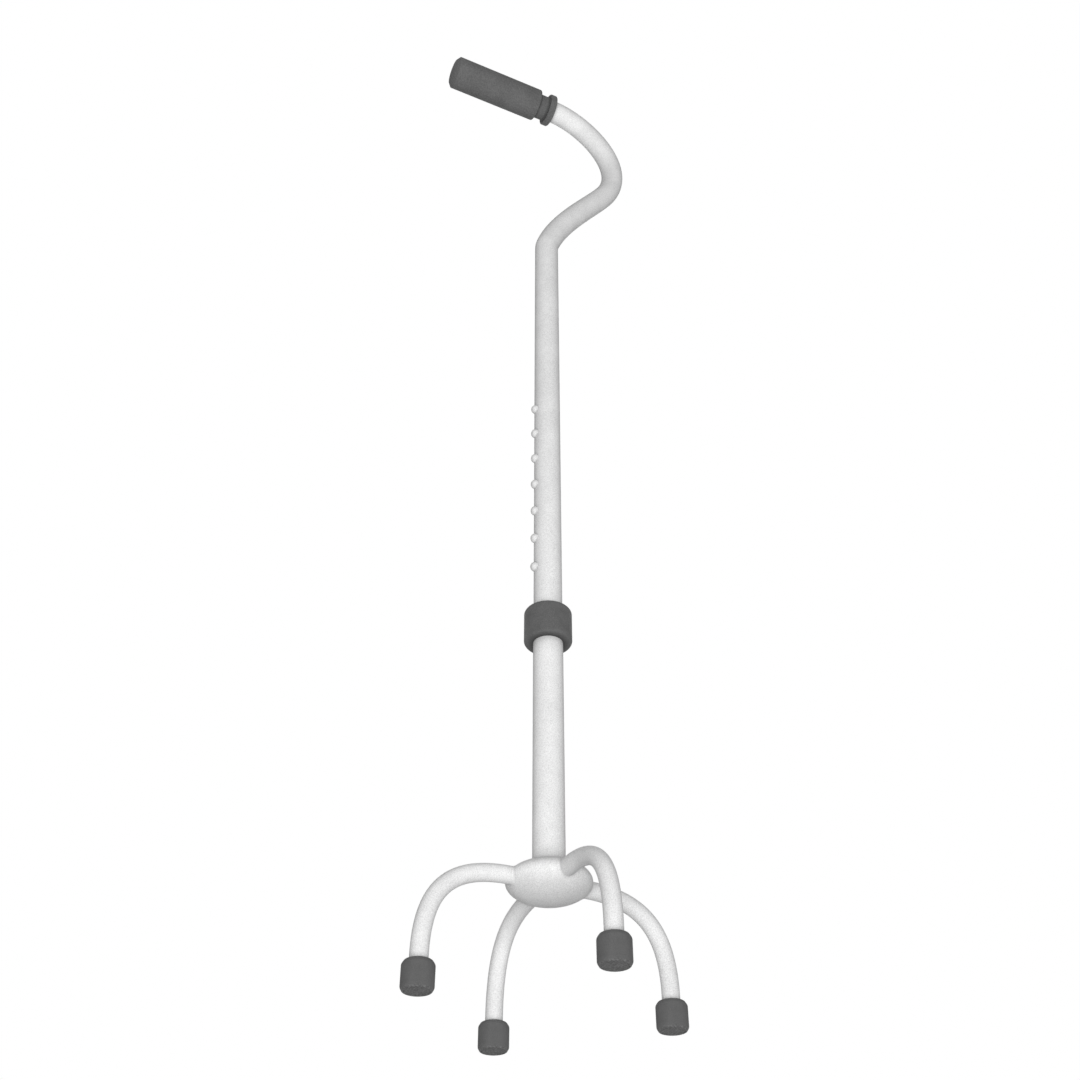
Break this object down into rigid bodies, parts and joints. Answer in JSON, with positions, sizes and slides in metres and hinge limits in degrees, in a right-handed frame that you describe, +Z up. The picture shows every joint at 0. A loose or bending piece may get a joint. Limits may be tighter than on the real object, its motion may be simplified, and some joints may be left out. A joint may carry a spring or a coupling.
{
  "type": "quad cane",
  "caption": "Height-adjustable quad cane: a swan-neck handle tube with a level grip slides on a lower tube, which stands on a hub with bent legs in rubber feet; snap button and locking collar.",
  "frame": {"origin": "on the floor, where the shaft's axis meets it, midway between the four feet", "axes": "+Z up along the shaft, +X forward, the way the swan neck bows; the grip's free end points along -X; +Y to the user's left"},
  "size_m": [0.1783, 0.1704, 0.8446],
  "materials": {
    "pale_paint": "satin off-white powder coat",
    "dark_rubber": "matt moulded",
    "dark_plastic": "fine matt moulded",
    "pale_cap": "satin moulded, soft",
    "bright_aluminium": "drawn, clear anodised",
    "bright_steel": "plain bright",
    "natural_nylon": "natural, unpainted"
  },
  "bodies": {
    "base": {"hub": "pale_paint", "lower_tube": "pale_paint", "inner_tube": "bright_aluminium", "inner_tube_plug": "natural_nylon", "button_spring": "bright_steel", "leg_front": "pale_paint", "leg_left": "pale_paint", "leg_rear": "pale_paint", "leg_right": "pale_paint", "foot_front": "dark_rubber", "foot_left": "dark_rubber", "foot_rear": "dark_rubber", "foot_right": "dark_rubber", "foot_washer_front": "bright_steel", "foot_washer_left": "bright_steel", "foot_washer_rear": "bright_steel", "foot_washer_right": "bright_steel"},
    "handle_section": {"upper_tube": "pale_paint", "handle_grip": "dark_rubber", "tube_end_plug": "natural_nylon", "guide_collet": "natural_nylon", "button_cap_1": "pale_cap", "button_cap_2": "pale_cap", "button_cap_3": "pale_cap", "button_cap_4": "pale_cap", "button_cap_5": "pale_cap", "button_cap_6": "pale_cap", "button_cap_7": "pale_cap"},
    "collar": {"lock_collar": "dark_plastic"},
    "button": {"snap_button": "bright_steel"}
  },
  "joints": [
    {"name": "height_adjust", "type": "slide", "parent": "base", "child": "handle_section", "axis": [0, 0, 1], "range_m": [0, 0.14616]},
    {"name": "collar_turn", "type": "hinge", "parent": "handle_section", "child": "collar", "pos_m": [0, 0, 0.2365], "axis": [0, 0, 1], "range_deg": [0, 180]},
    {"name": "button_press", "type": "slide", "parent": "base", "child": "button", "axis": [1, 0, 0], "range_m": [0, 0.0034], "stiffness_N_per_m": 1500, "springref_m": -0.002, "deforming": ["button_spring"]}
  ]
}
